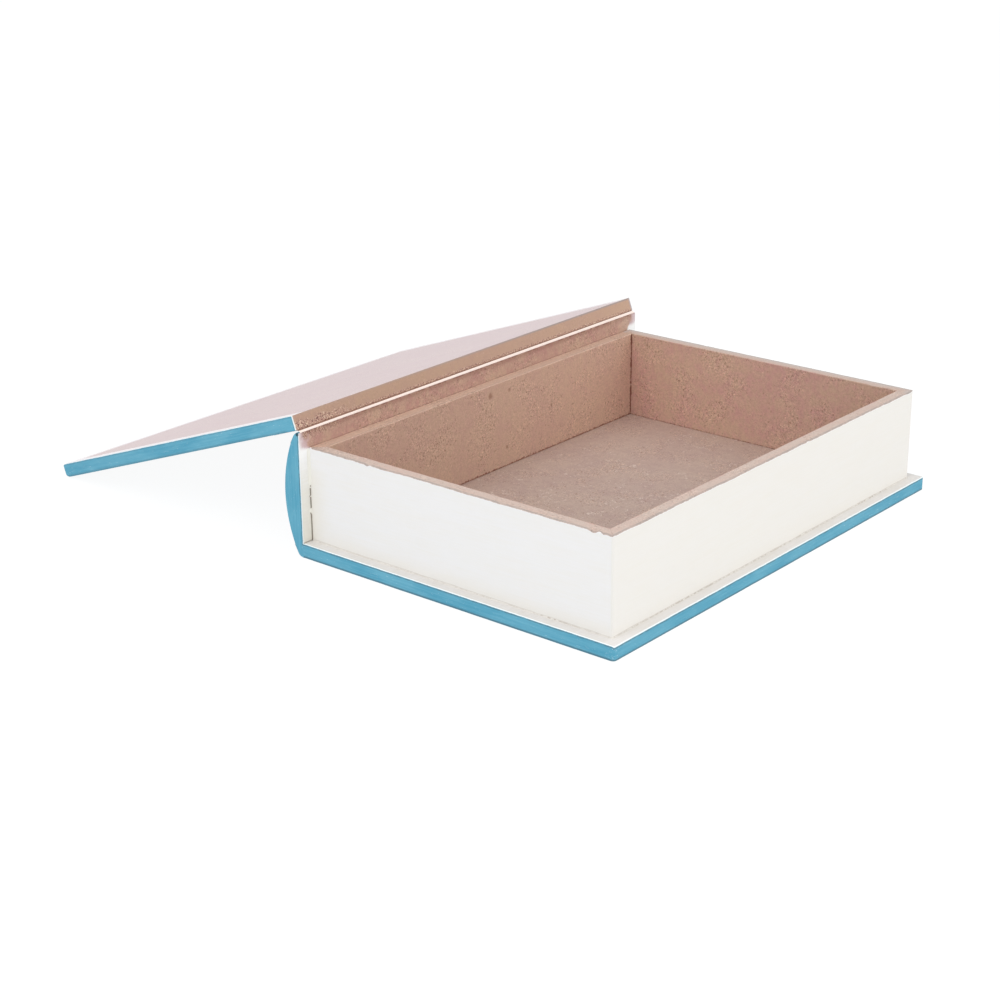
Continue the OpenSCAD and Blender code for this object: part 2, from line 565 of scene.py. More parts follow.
def build_torn_fibre():
    result, place, share, board = new_group("Torn fibre", ["Place", "Share", "Board"], ["Colour"])
    red = noise(shifted(place, 61.0, 5.0, 9.0), 1.7, 1.0)
    pale = noise(shifted(place, 17.0, 83.0, 2.0), 1.8, 1.0)
    pale_share, red_share = ramp(pale, 0.56, 0.62, 0.0, 0.9) * share, ramp(red, 0.53, 0.59) * share
    return link_all(result, {"Colour": layered(board, (pale_share, YELLOW_FIBRE), (red_share, RED_FIBRE))})


WORN_BLUE = build_worn_blue()
TORN_FIBRE = build_torn_fibre()

# %% [markdown]
# The covers' finish
#
# A cover is blue on its outer face and its edges. Cream laps round the inner arris and covers a narrow
# margin, and beyond it the inner face is bare. The hinge edge of the lid was never painted, apart from
# a thin line at its two ends, and there the cut fibres show red and yellow. The mark bare_way is the
# distance past the end of the cream, raw grows from 0 to 1 across the hinge edge, and worn is 1 at the
# corners, which lose their paint first.


# %% The covers' material
FRAYED_FROM, FRAYED_TO = -76.0, -92.0


def scuffs(place):
    """Short curls where something slid over the floor: two levels of a twisted noise.

    The first mask is the pale side of a curl and the second its dark side, as on a shallow scratch.
    """
    twisted = noise(place, 0.2, 2.0, 0.5, 2.2)
    rubbed = ramp(noise(shifted(place, 20.0, 40.0, 0.0), 0.08, 3.0), 0.4, 0.56)
    seen = rubbed * ramp(noise(place, 0.4, 2.0), 0.5, 0.58)
    return [ramp(abs(twisted - level), 0.01, 0.035, 1.0, 0.0) * seen for level in (0.5, 0.545)]


def cut_edge(place, raw):
    """Colour of the lid's cut hinge edge: smooth above, with fraying along its lower side near the tail.

    Along its outer arris the edge is darker, as painted shade beside the cloth.
    """
    y = split(place)[1]
    near_tail = ramp(y, FRAYED_TO, FRAYED_FROM, 1.0, 0.0)
    ragged = raw + ramp(noise(place, 0.3, 3.0), 0.3, 0.7, -0.12, 0.12)
    frayed_and_shaded = larger(ramp(ragged, 0.45, 0.7) * near_tail, ramp(raw, 0.78, 0.88, 0.0, 0.75))
    cut = fibre(place, EDGE_BOARD, ROSY_EDGE, grain=0.45, fibres=-0.6)
    colour = layered(
        cut["Colour"],
        (ramp(y, -110.0, 110.0, 0.0, 0.3), LIT_EDGE),
        (frayed_and_shaded * 0.35, ROSY_FRAY),
        (ramp(raw, 0.13, 0.26, 0.8, 0.0) * ramp(y, -95.0, 60.0, 0.2, 1.0), GREY_LINE),
        (ramp(y, 108.0, 109.2, 0.0, 0.8), LILAC_LINE),
    )
    return use(TORN_FIBRE, place, frayed_and_shaded, colour)["Colour"]


def painted_light_falloff(place, far, near):
    """Painted light and shade: a brightness factor from far, in the corner of spine and head, to near."""
    return ramp(distance(place, (TRAY_X[0], TRAY_Y[1], 0.0)), 35.0, 160.0, far, near)


def cover_material(name, board, rosy, paint, thin_paint, grain, fibres, relief, sheen, lines, painted_falloff):
    material, shader, place, surface, way, bare_way, raw, worn = start_material(
        name, "way", "bare_way", "raw", "worn"
    )
    shader.inputs["Sheen Weight"].default_value = sheen
    shader.inputs["Sheen Tint"].default_value = LILAC_SHEEN
    x = split(place)[0]
    blue = use(WORN_BLUE, place, surface, worn)
    cream = use(BRUSHED_PAINT, surface, paint, thin_paint, 0.4)
    # Painted light: the cream is lightened on the fore-edge margin.
    cream_with_painted_shading = shaded(cream["Colour"], ramp(x, COVER_W / 2 - 6.0, COVER_W / 2 - 4.5, 1.0, 1.07))
    lap_at = ramp(x, COVER_W / 2 - 1.0, COVER_W / 2 - 0.1, 0.2, 0.0)
    bare = fibre(place, board, rosy, grain, fibres)
    pale_side, dark_side = scuffs(place)
    # The bare board gets painted light and shade, brighter towards the far corner of spine and head.
    bare_colour = layered(
        shaded(bare["Colour"], painted_light_falloff(place, *painted_falloff)),
        (pale_side * (0.9 * grain), SCUFF),
        (dark_side * (0.5 * grain), DARK_FIBRE),
    )
    lap = edge_of(way - lap_at, place, 0.3, 0.12, 0.5, -0.66, 0.5)
    stop = edge_of(bare_way, place, 0.6, 0.3)
    sole = edge_of(way + (BOARD_T - 0.5), place, 0.2, 0.12, 0.7, 0.0)
    colour = layered(
        blue["Colour"],
        (lap["Beyond"], cream_with_painted_shading),
        (lap["Line"] * lines, DEEP_BLUE),
        (sole["Ridge"] * lines, DEEP_BLUE),
        (stop["Beyond"], blend(ramp(raw, 0.02, 0.08), bare_colour, cut_edge(place, raw))),
        # The paint ridge on the arris is a real ridge, made whiter as a painted highlight.
        ((lap["Ridge"] * 1.5).clamped(), LAP_RIDGE_HIGHLIGHT),
    )
    paint_height = blue["Height"] * 0.25 + lap["Ridge"]
    height = between(stop["Beyond"], paint_height, bare["Height"] * relief)
    bare_roughness = between(relief, 0.3, bare["Roughness"])
    roughness = between(stop["Beyond"], blue["Roughness"], bare_roughness)
    return finish_material(material, shader, colour, roughness, height)


BACK_MATERIAL = cover_material(
    "back_cover_paint", FLOOR_BOARD, ROSY_FLOOR, MARGIN_CREAM, THIN_MARGIN,
    grain=0.9, fibres=0.0, relief=0.9, sheen=0.0, lines=0.88, painted_falloff=(1.05, 0.93),
)
LID_MATERIAL = cover_material(
    "front_cover_paint", LID_BOARD, ROSY_LID, LID_CREAM, CREAM,
    grain=0.0, fibres=-3.0, relief=0.0, sheen=0.0, lines=0.4, painted_falloff=(1.0, 1.0),
)
LID_FACE = cover_material(
    "front_cover_face", LID_BOARD, ROSY_LID, CREAM, THIN_CREAM,
    grain=0.8, fibres=-0.1, relief=0.0, sheen=0.3, lines=0.4, painted_falloff=(1.0, 1.0),
)

# %% [markdown]
# The walls' finish
#
# The outside of the tray is cream, like the pages of a book. The paint stops at the outer arris of the
# rim with a ragged line, and a fine dark line runs beside it. The rim is sanded board, paler than the
# inside, with streaks along it. The mark seam is the distance from the inner corners, which are
# darkened there as painted shade, and mitre is the distance from the joint between two walls.


# %% The walls' material
def wall_material(name, board, rosy, fibres, rim, rosy_rim, paint_outside, stains=()):
    material, shader, place, surface, way, seam, mitre = start_material(name, "way", "seam", "mitre")
    x, y, z = split(place)
    cream = use(BRUSHED_PAINT, surface, CREAM, THIN_CREAM, 0.14)
    near_foot = ramp(z, BOARD_T, BOARD_T + 8.0, 0.4, 0.0)
    near_spine = ramp(x, TRAY_X[0], TRAY_X[0] + 12.0, 0.6, 0.0)
    near_spine = near_spine * ramp(z, RIM_Z - 14.0, RIM_Z - 5.0, 1.0, 0.0)
    # The fore-edge wall's outer face is tinted warm as painted light; near the foot and the spine the
    # cream is yellowed.
    yellowed_and_warm_lit = ramp(x, TRAY_X[1] - 0.9, TRAY_X[1] - 0.4, 0.0, 0.42)
    yellowed_and_warm_lit = larger(yellowed_and_warm_lit, larger(near_foot, near_spine))
    # Painted shade: the cream is darker beside the two fore-edge corners.
    corner_shade = ramp(mitre, 0.0, 0.9, 0.6, 0.0) * ramp(x, 0.0, 10.0, 0.0, 0.4)
    cream_with_painted_shading = layered(cream["Colour"], (yellowed_and_warm_lit, THIN_CREAM), (corner_shade, CORNER_SHADE_CREAM))
    bare = fibre(place, board, rosy, fibres=fibres)
    # The inner walls are lightened towards the far corner as painted light against its shade.
    bare_board = shaded(bare["Colour"], painted_light_falloff(place, 1.09, 1.0))
    streaks = use(BRUSHED_PAINT, surface, rim, rosy_rim, 0.7)
    speckled = fibre(place, rim, rosy_rim, 1.3, 0.1)
    head_side = ramp(y, TRAY_Y[1] - WALL_T - 1.0, TRAY_Y[1] - WALL_T, 0.0, 0.45)
    rim_colour = layered(
        streaks["Colour"],
        (0.65, speckled["Colour"]),
        (head_side, DARK_RIM),
        (head_side * ramp(way, 1.6, 3.0, 1.35, 0.4), ARRIS_GREY),
    )
    # Painted shadow under the head wall's inner arris.
    shade_below_arris = ramp(way, WALL_T + 0.3, WALL_T + 1.3, 0.2, 0.0)
    bare_board = shaded(bare_board, 1.0 - head_side * shade_below_arris)
    if not paint_outside:
        rim_colour = shaded(rim_colour, ramp(way, -0.2, 1.8, 1.3, 1.0))
        rim_colour = shaded(rim_colour, ramp(way, 3.6, WALL_T, 1.0, 0.84))
    into_rim = edge_of(way + 0.2, place, 0.4, 0.12, 0.34, 0.7, 0.85)
    into_bare = edge_of(way - (WALL_T - 0.3), place, 0.3, 0.25, 0.3)
    joint = ramp(mitre, 0.05, 0.3, 1.0, 0.0) * ramp(noise(place, 0.9), 0.4, 0.55)
    uneven = noise(place, 0.8, 3.0) * 2.0
    stained = [(ramp(distance(place, stain) + uneven, radius, radius + 1.2, 0.75, 0.0), STAIN)
               for stain, radius in stains]
    colour = layered(
        cream_with_painted_shading if paint_outside else bare_board,
        (into_rim["Beyond"], rim_colour),
        (into_bare["Beyond"], bare_board),
        (joint * (into_rim["Beyond"] * 0.35), DARK_FIBRE),
        *stained,
        # Painted shade along the inner corners, at the floor and at the mitres.
        (ramp(seam + uneven, 1.2, 1.75, 0.85, 0.0), SHADOW_BROWN),
    )
    if paint_outside:
        # The paint ridge at the rim is a real ridge, made white as a painted highlight.
        line, ridge = into_rim["Line"] * 0.66, into_rim["Ridge"] * 0.8
        colour = layered(colour, (line, LAP_SHADOW), (ridge, RIDGE_AND_HIGHLIGHT_WHITE))
    height = between(into_rim["Beyond"], cream["Height"] * 0.3, bare["Height"]) + into_rim["Ridge"]
    roughness = between(into_rim["Beyond"], cream["Roughness"], bare["Roughness"])
    return finish_material(material, shader, colour, roughness, height)


WALL_PAINT = wall_material("wall_paint", ROSY_WALL, DEEP_ROSY_WALL, -0.1, RIM, ROSY_RIM, True)
WALL_STAINS = [((-71.0, 11.4, 40.3), 1.1), ((-71.0, -1.2, 40.6), 1.6), ((-71.0, 9.5, 14.7), 0.9),
               ((-71.0, -7.3, 31.5), 0.8)]
WALL_BOARD = wall_material(
    "wall_board", BOARD, ROSY_BOARD, 0.0, DARK_RIM, ROSY_DARK_RIM, False, WALL_STAINS
)

# %% [markdown]
# The spine's finish
#
# The moulding is blue round its back and on both ends. Its flat face is bare where the tray and the lid
# hide it, and cream on the short stretch past each end of the tray. Above the rim that cream is thin
# and the board shows through it, which the mark thin says.


# %% The spine's material
def spine_material():
    material, shader, place, surface, way, bare_way, thin, worn = start_material(
        "spine_paint", "way", "bare_way", "thin", "worn"
    )
    _, y, z = split(place)
    blue = use(WORN_BLUE, place, surface, worn)
    cream = use(BRUSHED_PAINT, surface, SPINE_CREAM, THIN_SPINE_CREAM, 0.35)
    bare = fibre(place, BOARD, ROSY_FACE, 1.0, -0.15)
    lap = edge_of(way, place, 0.35)
    stop = edge_of(bare_way, place, 1.4, 0.8)
    thinned = thin * ramp(noise(place, 0.45, 3.0), 0.3, 0.65, 0.8, 1.2)
    # The cream is darker towards the foot as painted shade and whiter towards the rim as painted light;
    # above the rim it is thin.
    cream_with_painted_shading = layered(
        cream["Colour"],
        (ramp(z, BOARD_T, RIM_Z - 5.0, 0.85, 0.0), THIN_SPINE_CREAM),
        (ramp(z, RIM_Z - 14.0, RIM_Z, 0.0, 0.8), RIDGE_AND_HIGHLIGHT_WHITE),
        ((thinned * 2.0).clamped(), ROSY_CREAM),
    )
    # Painted shadow along the top of the flat face, under the cloth's fold.
    wide_crest_shadow = ramp(z, SPINE_H - 2.6, SPINE_H - 0.9, 0.0, 0.3)
    patchy = ramp(noise(place, 0.35, 3.0), 0.4, 0.55, 0.1, 0.7)
    crest_shadow = ramp(z, SPINE_H - 0.8, SPINE_H - 0.4) * patchy
    bare_colour = blend(larger(crest_shadow, wide_crest_shadow), bare["Colour"], SHADOW_BROWN)
    torn = ramp(y, FRAYED_TO - 12.0, FRAYED_FROM, 1.0, 0.0)
    torn = torn * ramp(z, SPINE_H - 4.5, SPINE_H - 1.5, 0.0, 0.8)
    foot = ramp(z, BOARD_T + 0.15, BOARD_T + 0.7, 0.7, 0.0)
    gone = (thinned * 2.0 - 1.0).clamped()
    # Painted shadow: a dark dot at the spine's top corner at the tail, in the gap beside the fold.
    shadowed_tip = (SPINE_X - 0.8, -COVER_L / 2, SPINE_H - 0.5)
    colour = layered(
        blue["Colour"],
        (lap["Beyond"], cream_with_painted_shading),
        (foot * lap["Beyond"], OPEN_JOINT),
        (lap["Line"] * 0.9, DEEP_BLUE),
        (larger(stop["Beyond"], gone), use(TORN_FIBRE, place, torn, bare_colour)["Colour"]),
        # The paint ridge on the arris is a real ridge, made whiter as a painted highlight.
        (lap["Ridge"] * 0.9, LAP_RIDGE_HIGHLIGHT),
        (ramp(distance(place, shadowed_tip), 0.5, 0.95, 0.95, 0.0), TIP_SHADOW_TEAL),
    )
    height = between(stop["Beyond"], blue["Height"], bare["Height"]) + lap["Ridge"]
    roughness = between(stop["Beyond"], blue["Roughness"], bare["Roughness"])
    return finish_material(material, shader, colour, roughness, height)


SPINE_MATERIAL = spine_material()

# %% [markdown]
# From arrays to a mesh
#
# Every rigid piece below is a set of rings: closed loops of points, one after the other. An array of
# shape (rings, points, 3) holds them, and the first helper turns it into a mesh with a UV map in metres
# and with the marks that the finishes read. Rings that close onto a line are welded there, so the piece
# is one closed shell.


# %% Make a mesh from rings
SHARP_ANGLE = math.radians(38.0)
WELD = 1e-6


def ring_mesh(name, points, surface, marks, caps=False, face_rings=0):
    """A closed shell. points is (rings, n, 3) and surface (rings, n + 1, 2), both in millimetres.

    The faces of the first face_rings rings take the piece's second material.
    """
    rings, n = points.shape[:2]
    ring, step = np.meshgrid(np.arange(rings - 1), np.arange(n), indexing="ij")
    following = (step + 1) % n
    faces = np.stack(
        [ring * n + step, ring * n + following, (ring + 1) * n + following, (ring + 1) * n + step], -1
    ).reshape(-1, 4)
    polygons = faces.tolist()
    if caps:
        polygons += [list(range(n)), list(range((rings - 1) * n, rings * n))]
    mesh = bpy.data.meshes.new(name)
    mesh.from_pydata((points.reshape(-1, 3) * MM).tolist(), [], polygons)
    on_face = np.arange(len(polygons)) < face_rings * n
    mesh.polygons.foreach_set("material_index", on_face.astype(np.int32))
    for key, values in marks.items():
        attribute = mesh.attributes.new(key, "FLOAT", "POINT")
        spread = np.broadcast_to(values, points.shape[:2])
        attribute.data.foreach_set("value", np.ascontiguousarray(spread, dtype=np.float32).ravel())
    at_corner = np.stack(
        [surface[:-1, :-1], surface[:-1, 1:], surface[1:, 1:], surface[1:, :-1]], 2
    ).reshape(-1, 2)
    padding = np.zeros((len(mesh.loops) - len(at_corner), 2))
    uv = mesh.uv_layers.new(name="Surface")
    uv.data.foreach_set("uv", (np.vstack([at_corner, padding]) * MM).astype(np.float32).ravel())
    shell = bmesh.new()
    shell.from_mesh(mesh)
    bmesh.ops.remove_doubles(shell, verts=shell.verts, dist=WELD)
    bmesh.ops.recalc_face_normals(shell, faces=shell.faces)
    shell.to_mesh(mesh)
    shell.free()
    mesh.polygons.foreach_set("use_smooth", np.ones(len(mesh.polygons), dtype=bool))
    mesh.set_sharp_from_angle(angle=SHARP_ANGLE)
    made = bpy.data.objects.new(name, mesh)
    bpy.context.scene.collection.objects.link(made)
    print("%s: %d faces" % (name, len(mesh.polygons)))
    return made


def set_piece(name, rings, finishes, slot, node_name=None, body="box", **options):
    """Makes a piece from its points, surface and marks, hides its solid, and attaches it to its body."""
    piece = ring_mesh(name, *rings, **options)
    for finish in finishes:
        piece.data.materials.append(finish)
    if node_name:
        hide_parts(node_name)
    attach(piece, body)
    return piece


def coordinates(*parts):
    """Numbers and arrays, spread to one shape and put side by side as coordinates."""
    return np.stack(np.broadcast_arrays(*parts), -1)


def walked(points):
    """Distance walked along a line of points, up to each one."""
    steps = np.linalg.norm(np.diff(points, axis=0), axis=1)
    return np.concatenate([[0.0], np.cumsum(steps)])


def lengths(loop):
    """Distance walked along a closed loop of points up to each one, with the whole length last."""
    return walked(np.vstack([loop, loop[:1]]))


def closed(rows):
    """Each row with its first entry once more at its end, as the UV map of a loop wants it."""
    return np.concatenate([rows, rows[:, :1]], 1)


def wander(along, size, seed, shortest=3.0, longest=60.0, waves=9):
    """A slow random curve: a sum of sines with wavelengths from shortest to longest."""
    rng = np.random.default_rng(seed)
    wavelength = np.geomspace(shortest, longest, waves)
    phase = rng.uniform(0, 2 * np.pi, waves)
    weight = np.sqrt(wavelength) / np.sqrt(wavelength).sum()
    angle = 2 * np.pi * np.asarray(along)[..., None] / wavelength + phase
    return size * (np.sin(angle) * weight).sum(-1)


def bumps(x, places):
    """A sum of smooth bumps. places is a list of (middle, half width, height)."""
    total = np.zeros_like(x)
    for middle, half_width, height in places:
        total += height * np.exp(-((x - middle) / half_width) ** 2)
    return total


def arc(centre, radius, start, end, count):
    """Points on an arc in the plane, from one angle in degrees to another."""
    angle = np.radians(np.linspace(start, end, count))
    return coordinates(centre[0] + radius * np.cos(angle), centre[1] + radius * np.sin(angle))


def rise_between(value, start, end):
    """0 before start, 1 after end, and a straight rise between them."""
    return np.clip((value - start) / (end - start), 0.0, 1.0)


# %% [markdown]
# The two cover boards
#
# A cover is a slab with sanded arrises. It could be a box with a bevel, but a bevel has one width all
# round, and here each arris differs. So the slab is worked out as rings: the outline of the board,
# moved inwards and down step by step, from the middle of the inner face over the edge to the middle of
# the outer face. Every ring is the outline drawn towards the board's middle line, as the eaves of a
# hipped roof are drawn towards its ridge.


# %% Make a cover board
QUARTER = np.radians(np.linspace(0.0, 90.0, 7))
STATION = 1.5
NEAR_CORNER = 2.2
TAIL_CORNER, HEAD_CORNER = 1.5, 0.8
HINGE_EASING = 0.3
EDGE_LINE = 0.3
FAR_FROM_BARE = -5.0
WORN_REACH = 4.5
INNER_INSETS = (62, 48, 34, 22, 15, 12, 10, 8.5, 7, 5.5, 4, 2.6, 1.6)
OUTER_INSETS = (2.9, 4, 6, 9, 14, 22, 34, 48, 62)
COVER_FACES_AT = np.array([400.0, 0.0])


def over_arris(radius):
    """Inset and depth of the rings over an arris, from the face on its inner side to the edge."""
    return [(radius * (1 - np.sin(angle)), radius * (1 - np.cos(angle))) for angle in QUARTER]


def draw_in(outline, middle, reach, stations):
    """Inset and depth of every ring, and the outline drawn in towards the middle by the inset."""
    rows = [np.broadcast_arrays(inset, depth, outline[:, 0])[:2] for inset, depth in stations]
    inset, depth = np.array(rows).swapaxes(0, 1)
    return inset, depth, outline + (middle - outline) * (inset / reach)[..., None]


def cover_outline(width, hinge_corner, far_corner):
    """Outline of a cover seen from its inner face: fore-edge, head, hinge side and tail."""
    half = COVER_L / 2
    long_side = np.linspace(-half + NEAR_CORNER, half - NEAR_CORNER, int(COVER_L / STATION))
    short_side = np.linspace(NEAR_CORNER, width - NEAR_CORNER, int(width / STATION))
    return np.vstack([
        coordinates(width, long_side),
        arc((width - HEAD_CORNER, half - HEAD_CORNER), HEAD_CORNER, 0, 90, 8),
        coordinates(short_side[::-1], half),
        arc((far_corner, half - far_corner), far_corner, 90, 180, 5),
        coordinates(0.0, long_side[::-1]),
        arc((hinge_corner, hinge_corner - half), hinge_corner, 180, 270, 4),
        coordinates(short_side, -half),
        arc((width - TAIL_CORNER, TAIL_CORNER - half), TAIL_CORNER, 270, 360, 8),
    ])


def cover_rings(width, inner_arris, end_arris, fore_arris, margin, raw_edge, seed):
    """Rings of a cover board, from x = 0 at the hinge side, with depth measured from the inner face.

    A ring is outline + (middle - outline) * inset / reach. On the faces only the inset changes, on the
    edge only the depth, and on an arris of radius r they are r (1 - sin a) and r (1 - cos a).
    """
    outline = cover_outline(width, *((0.35, 0.8) if raw_edge else (0.03, 0.03)))
    along = lengths(outline)
    reach = width / 2
    middle = coordinates(reach, np.clip(outline[:, 1], reach - COVER_L / 2, COVER_L / 2 - reach))
    free_side = rise_between(outline[:, 0], 0.0, 0.7)
    fore_side = rise_between(outline[:, 0], width - 2.5, width)
    outer_free = end_arris + (fore_arris - end_arris) * fore_side + wander(along[:-1], 0.12, seed)
    outer = HINGE_EASING + (outer_free - HINGE_EASING) * free_side
    inner = inner_arris * (0.4 + 0.6 * free_side) + wander(along[:-1], 0.1, seed + 1) * free_side
    inner = inner + 0.35 * (fore_arris - end_arris) * fore_side
    stations = [(inset, 0.0) for inset in (reach, *INNER_INSETS)]
    on_inner_face = len(stations)
    stations += over_arris(inner)
    stations += [(0.0, inner + (BOARD_T - inner - outer) * share) for share in (0.25, 0.5, 0.75)]
    on_inner_side = len(stations)
    stations += [(outer * (1 - np.cos(angle)), BOARD_T - outer * (1 - np.sin(angle))) for angle in QUARTER]
    on_outer_face = len(stations)
    stations += [(inset, BOARD_T) for inset in (*OUTER_INSETS, reach)]
    inset, depth, flat = draw_in(outline, middle, reach, stations)

    from_end = COVER_L / 2 - np.abs(flat[..., 1])
    from_free_side = np.minimum(from_end, width - flat[..., 0])
    ring = np.arange(len(stations))[:, None]
    way = np.where(ring < on_inner_side, from_free_side - depth, -depth - inset)
    bare_way = np.where(ring < on_inner_side, from_free_side - depth - margin, FAR_FROM_BARE)
    raw = np.zeros_like(depth)
    if raw_edge:
        hinge_side = (flat[..., 0] < from_end) & (flat[..., 0] < 0.36)
        hinge_side &= (ring > on_inner_face) & (ring < on_outer_face)
        end_face = (from_end < 0.2) & ~hinge_side & (ring > on_inner_face)
        way = np.where(end_face, -np.minimum(depth, np.maximum(flat[..., 0], 0.05)), way)
        way = np.where(hinge_side, from_end, way)
        bare_way = np.where(hinge_side, from_end - EDGE_LINE, bare_way)
        raw = np.where(hinge_side, 0.1 + 0.9 * depth / BOARD_T, 0.0)
    from_corner = np.hypot(from_end, width - flat[..., 0])
    worn = np.exp(-from_corner / WORN_REACH) * np.where(flat[..., 1] < 0, 1.0, 0.5)

    on_face = (depth == 0) | (depth == BOARD_T)
    across = np.concatenate([[0.0], np.cumsum(np.abs(np.diff(inset - depth, axis=0)).mean(1))])
    face = closed(flat)[..., ::-1] + COVER_FACES_AT
    surface = np.where(closed(on_face)[..., None], face, coordinates(along[None, :], across[:, None]))
    return flat, depth, surface, {"way": way, "bare_way": bare_way, "raw": raw, "worn": worn}


flat, depth, surface, marks = cover_rings(
    COVER_W, inner_arris=0.3, end_arris=0.3, fore_arris=0.45, margin=7.6, raw_edge=False, seed=11
)
points = coordinates(flat[..., 0] + SPINE_X, flat[..., 1], BOARD_T - depth)
set_piece("back_board", (points, surface, marks), [BACK_MATERIAL], "painted_cover", "back_cover")

flat, depth, surface, marks = cover_rings(
    FRONT_W, inner_arris=0.4, end_arris=0.5, fore_arris=1.9, margin=7.0, raw_edge=True, seed=23
)
points = opened(coordinates(flat[..., 0] + LID_X, flat[..., 1], LID_IN_Z + depth))
set_piece(
    "front_board", (points, surface, marks), [LID_MATERIAL, LID_FACE], "painted_cover",
    "front_cover", "lid", face_rings=len(INNER_INSETS) + 1,
)

# %% [markdown]
# The spine moulding
#
# The spine is one solid moulding with a D section. Its round is a single arc that stops short of the
# flat face, at a narrow land on each long edge, and a sanded arris leads from one to the other. The
# same rings as before make it: this time the outline is the section, and the depth is its length. The
# paint fills the joint between its foot and the back cover, so there the two ends are flush.


# %% Make the spine
END_EASING = 0.45
FOOT_R, CREST_R = 0.05, 0.35
SPINE_END_INSETS = (3.4, 2.3, 1.5, 0.9)
TAIL_MARGIN, HEAD_MARGIN = 5.6, 6.4
SPINE_ENDS_AT = np.array([600.0, 0.0])


def spine_outline():
    """The D section in X and Z, anticlockwise from the foot of the flat face."""
    half = SPINE_H / 2
    sagitta = SPINE_D - SPINE_LAND
    radius = (half * half + sagitta * sagitta) / (2 * sagitta)
    centre_x = SPINE_X - SPINE_D + radius
    arris_x = centre_x - math.sqrt((radius - LAND_R) ** 2 - (half - LAND_R) ** 2)
    slope = math.degrees(math.atan2(half - LAND_R, centre_x - arris_x))
    rise = np.concatenate([
        np.linspace(0.2, BOARD_T - 0.4, 8),
        np.linspace(BOARD_T - 0.2, BOARD_T + 1.2, 8),
        np.linspace(BOARD_T + 2.0, RIM_Z - 1.5, 24),
        np.linspace(RIM_Z - 1.0, SPINE_H - CREST_R - 0.1, 14),
    ])
    return np.vstack([
        coordinates(SPINE_X, rise),
        arc((SPINE_X - CREST_R, SPINE_H - CREST_R), CREST_R, 0, 90, 5),
        arc((arris_x, SPINE_H - LAND_R), LAND_R, 90, 180 - slope, 7),
        arc((centre_x, half), radius, 180 - slope + 0.8, 180 + slope - 0.8, 61),
        arc((arris_x, LAND_R), LAND_R, 180 + slope, 270, 7),
        arc((SPINE_X - FOOT_R, FOOT_R), FOOT_R, 270, 360, 3),
    ])


def spine_rings():
    """Rings of the spine from the middle of its tail end to the middle of its head end."""
    outline = spine_outline()
    reach = SPINE_D / 2
    middle = coordinates(SPINE_X - reach, np.clip(outline[:, 1], reach, SPINE_H - reach))
    around = lengths(outline)
    on_flat_face = outline[:, 0] > SPINE_X - 0.06
    joined = on_flat_face * (1 - rise_between(outline[:, 1], BOARD_T - 0.1, BOARD_T + 0.9))
    eased = (END_EASING + wander(around[:-1], 0.1, 41)) * (1 - 0.96 * joined)
    past_easing = np.concatenate([np.arange(1.2, 9.0, 0.6), np.linspace(10.0, COVER_L / 2, 66)])
    tail_half = [(inset, 0.0) for inset in (reach, *SPINE_END_INSETS)] + over_arris(eased)
    tail_half += [(0.0, depth) for depth in past_easing]
    head_half = [(inset, COVER_L - depth) for inset, depth in tail_half[-2::-1]]
    inset, depth, flat = draw_in(outline, middle, reach, tail_half + head_half)
    y = depth - COVER_L / 2
    z = np.broadcast_to(flat[..., 1], y.shape)

    from_end = COVER_L / 2 - np.abs(y)
    behind = SPINE_X - flat[..., 0]
    way = np.where(behind > 0.25, -behind, from_end - behind)
    way = np.where(z < BOARD_T, np.minimum(way, z - BOARD_T), way)
    above_rim = z - RIM_Z
    at_tail, at_head = y < 0, y >= 0
    margin = np.where(at_tail, TAIL_MARGIN, HEAD_MARGIN - 0.7 * np.clip(above_rim, 0.0, 3.0))
    tail_fade = np.clip(0.12 + (from_end - 0.8 + 0.25 * above_rim) * 0.2, 0.0, 1.0)
    head_fade = np.clip(0.3 + (from_end - 1.0 + 0.4 * (above_rim - 2.0)) * 0.14, 0.25, 1.0)
    thin = at_tail * rise_between(above_rim, -0.8, 0.8) * tail_fade
    thin = thin + at_head * rise_between(above_rim, 1.2, 3.0) * head_fade
    thin = thin * rise_between(behind, 0.8, 0.5)
    bare_way = np.minimum(from_end - margin, 6.0 * (0.75 - behind))
    worn = np.exp(-np.hypot(from_end, z - 1.0) / 3.0) * 0.6
    marks = {"way": way, "bare_way": bare_way, "thin": thin, "worn": worn}

    end_face = closed(flat)[..., ::-1] + SPINE_ENDS_AT
    surface = np.where(closed(inset > 0)[..., None], end_face, coordinates(closed(y), around[None, :]))
    return coordinates(flat[..., 0], y, flat[..., 1]), surface, marks


set_piece("spine_moulding", spine_rings(), [SPINE_MATERIAL], "painted_spine", "spine")

# %% [markdown]
# The tray's walls
#
# Four strips of board are mitred and glued in a rectangle. Each is a section carried along a straight
# path. Every line of the section is stretched so that it ends on the mitre, and near the two ends the
# outer face turns in, so that two walls together make one softly rounded corner. Knocks have chipped
# the paint along the rim in a few places, and the inner corners are darkened as painted shade.

# %% Make the walls
WALL_H = RIM_Z - BOARD_T
RIM_ARRIS = 0.4
FORE_CORNER = 0.8
SPINE_CORNER = 0.25
FOOT_CHAMFER = 0.2
SANDED_H = 1.5
WALL_STATION = 0.7
FAR_FROM_SEAM = 5.0
SURFACE_STEP = 37.0


